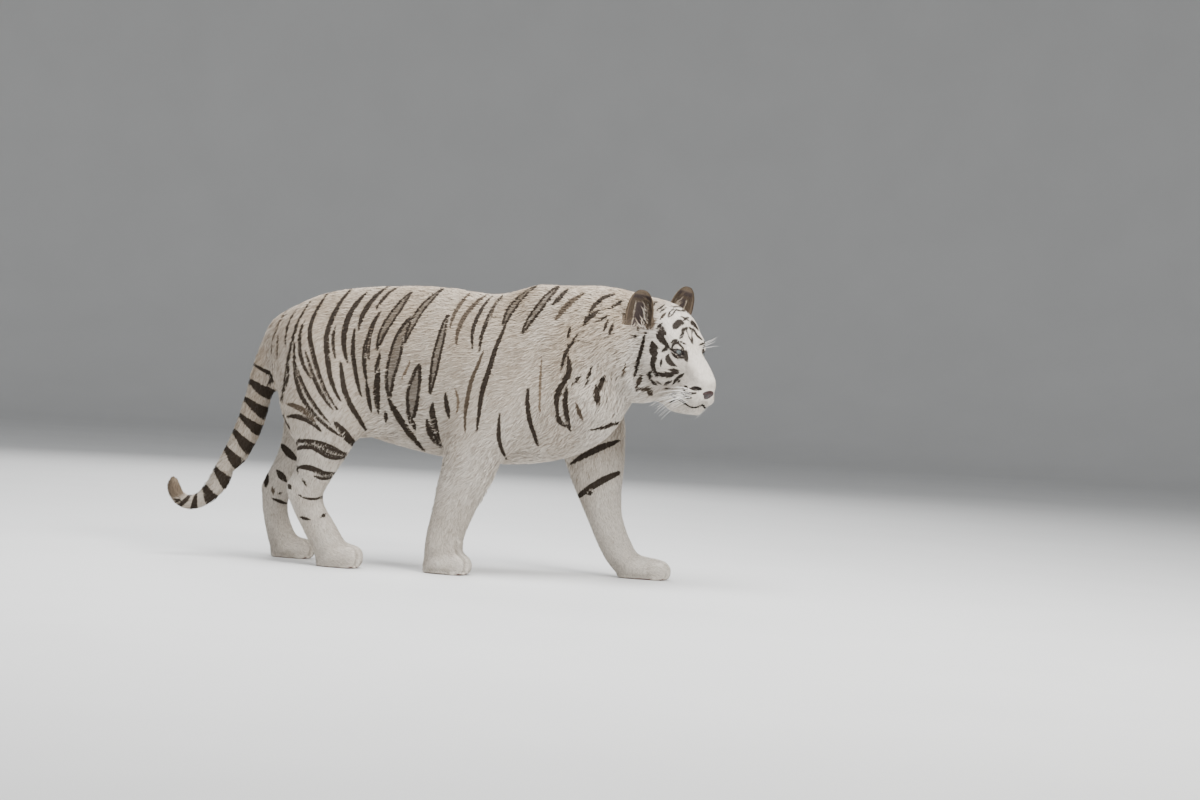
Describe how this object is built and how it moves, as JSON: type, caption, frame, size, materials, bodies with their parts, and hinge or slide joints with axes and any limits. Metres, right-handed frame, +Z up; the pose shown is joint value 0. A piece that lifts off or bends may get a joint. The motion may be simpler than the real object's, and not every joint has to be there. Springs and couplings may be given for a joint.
{
  "type": "tiger figure",
  "caption": "Life-size still figure of a white tiger in mid-stride, head turned to its right, standing on four flat-soled paws with the tail hanging and curled at the tip.",
  "frame": {"origin": "on the floor, under the middle of the whole figure's bounding box", "axes": "+X from tail to nose, +Y to the animal's left, +Z up"},
  "size_m": [1.837, 0.4546, 1.0167],
  "materials": {
    "coat": "short dense off-white fur with dark stripes",
    "ear_coat": "grey-brown fur",
    "tail_coat": "off-white fur with grey-brown bands",
    "iris": "wet, grey-blue with a round dark pupil",
    "nose_leather": "bare, finely pebbled, slightly moist"
  },
  "bodies": {
    "root": {"head": "coat", "nose_pad": "nose_leather", "eye_right": "iris", "eye_left": "iris", "ear_right": "ear_coat", "ear_left": "ear_coat", "neck": "coat", "chest": "coat", "belly": "coat", "rump": "coat", "foreleg_right": "coat", "foreleg_left": "coat", "forepaw_right": "coat", "forepaw_left": "coat", "shank_right": "coat", "shank_left": "coat", "hindpaw_right": "coat", "hindpaw_left": "coat", "tail_root": "tail_coat", "tail_middle": "tail_coat", "tail_end": "tail_coat", "tail_tip": "tail_coat"}
  },
  "joints": []
}
